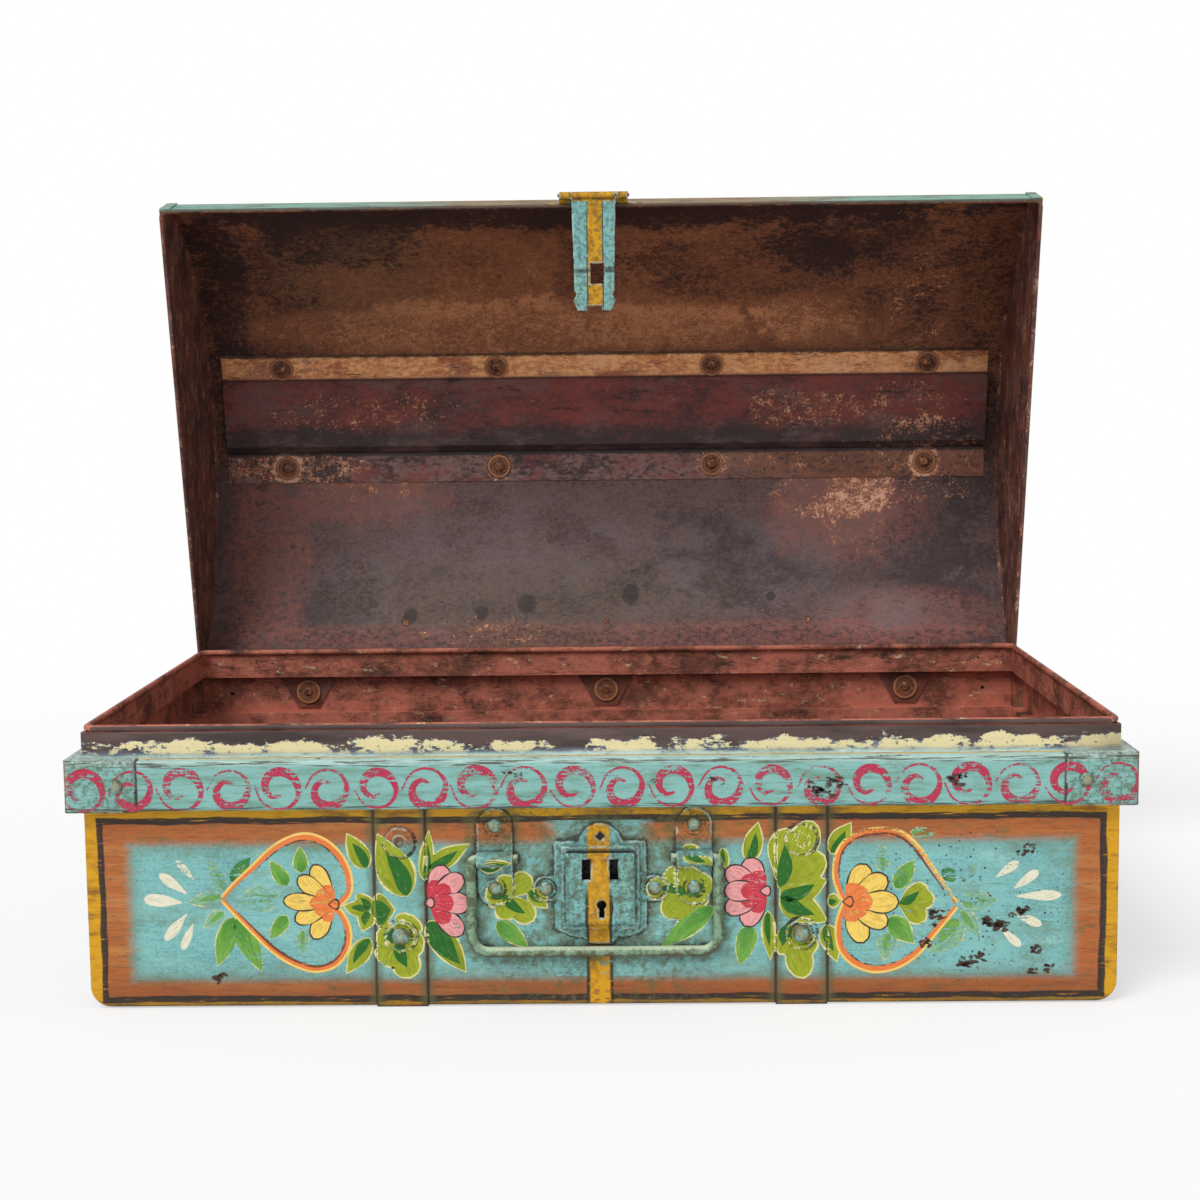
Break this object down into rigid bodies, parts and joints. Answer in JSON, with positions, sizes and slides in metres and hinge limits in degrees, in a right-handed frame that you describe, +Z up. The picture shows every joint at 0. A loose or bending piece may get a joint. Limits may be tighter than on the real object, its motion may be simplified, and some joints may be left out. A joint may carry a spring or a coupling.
{
  "type": "metal trunk",
  "caption": "Open sheet steel trunk with an arched hinged lid, a formed band round the mouth, body straps, a front lock with hasp and a bail handle.",
  "frame": {"origin": "on the ground under the middle of the tub, between the undersides of the two straps it stands on", "axes": "+X to the right along the trunk, +Y away from the lock and handle, +Z up"},
  "size_m": [0.6238, 0.4287, 0.4934],
  "materials": {
    "painted_sheet": "satin, hand painted and worn",
    "painted_fittings": "satin, painted and worn",
    "rusted_sheet": "matt, rusted",
    "worn_steel": "satin, worn"
  },
  "bodies": {
    "tub": {"body_strap_left": "painted_sheet", "body_strap_right": "painted_sheet", "corner_cap_back_left": "painted_sheet", "corner_cap_back_right": "painted_sheet", "corner_cap_front_left": "painted_sheet", "corner_cap_front_right": "painted_sheet", "corner_cap_rivets": "worn_steel", "handle_bracket_left": "painted_fittings", "handle_bracket_right": "painted_fittings", "handle_bracket_rivets": "worn_steel", "hinge_backing_left": "rusted_sheet", "hinge_backing_middle": "rusted_sheet", "hinge_backing_right": "rusted_sheet", "hinge_pin_left": "worn_steel", "hinge_pin_middle": "worn_steel", "hinge_pin_right": "worn_steel", "hinge_tub_leaf_left": "painted_sheet", "hinge_tub_leaf_middle": "painted_sheet", "hinge_tub_leaf_right": "painted_sheet", "hinge_tub_rivets": "worn_steel", "hinge_washers": "worn_steel", "lock_backplate": "painted_fittings", "lock_case": "painted_fittings", "lock_rivets": "worn_steel", "strap_dome_rivets": "worn_steel", "strap_flat_rivets": "worn_steel", "strap_washers": "worn_steel", "tub_back_panel": "painted_sheet", "tub_floor": "rusted_sheet", "tub_front_panel": "painted_sheet", "tub_left_panel": "painted_sheet", "tub_right_panel": "painted_sheet", "tub_rim_wire": "rusted_sheet"},
    "lid": {"hasp_leaf": "painted_sheet", "hasp_leaf_rivets": "worn_steel", "hinge_lid_leaf_left": "painted_sheet", "hinge_lid_leaf_middle": "painted_sheet", "hinge_lid_leaf_right": "painted_sheet", "hinge_lid_rivets": "worn_steel", "lid_back_rivets": "worn_steel", "lid_left_end": "painted_sheet", "lid_right_end": "painted_sheet", "lid_rim_wire": "painted_sheet", "lid_stiffener": "rusted_sheet", "lid_top_sheet": "painted_sheet", "stiffener_rivets": "worn_steel", "stiffener_washers": "worn_steel"},
    "hasp_pin": {"hasp_pin": "worn_steel"},
    "hasp": {"hasp_plate": "painted_sheet"},
    "handle": {"handle_bail": "painted_fittings"},
    "lock_bolt": {"lock_bolt": "worn_steel"}
  },
  "joints": [
    {"name": "lid_hinge", "type": "hinge", "parent": "tub", "child": "lid", "pos_m": [0, 0.1747, 0.15], "axis": [1, 0, 0], "range_deg": [0, 76.5]},
    {"name": "hasp_pin_turn", "type": "hinge", "parent": "lid", "child": "hasp_pin", "pos_m": [-0.004, 0.09067, 0.49101], "axis": [1, 0, 0], "range_deg": [-87, 0]},
    {"name": "hasp_swing", "type": "hinge", "parent": "hasp_pin", "child": "hasp", "pos_m": [-0.004, 0.09067, 0.49101], "axis": [-1, 0, 0], "range_deg": [-10.3, 150]},
    {"name": "handle_swing", "type": "hinge", "parent": "tub", "child": "handle", "pos_m": [-0.0034, -0.1663, 0.0886], "axis": [-1, 0, 0], "range_deg": [0, 120]},
    {"name": "bolt_slide", "type": "slide", "parent": "tub", "child": "lock_bolt", "axis": [-1, 0, 0], "range_m": [0, 0.005]}
  ],
  "couplings": [
    {"joint": "hasp_pin_turn", "follows": "lid_hinge", "ratio": -1.1346}
  ]
}
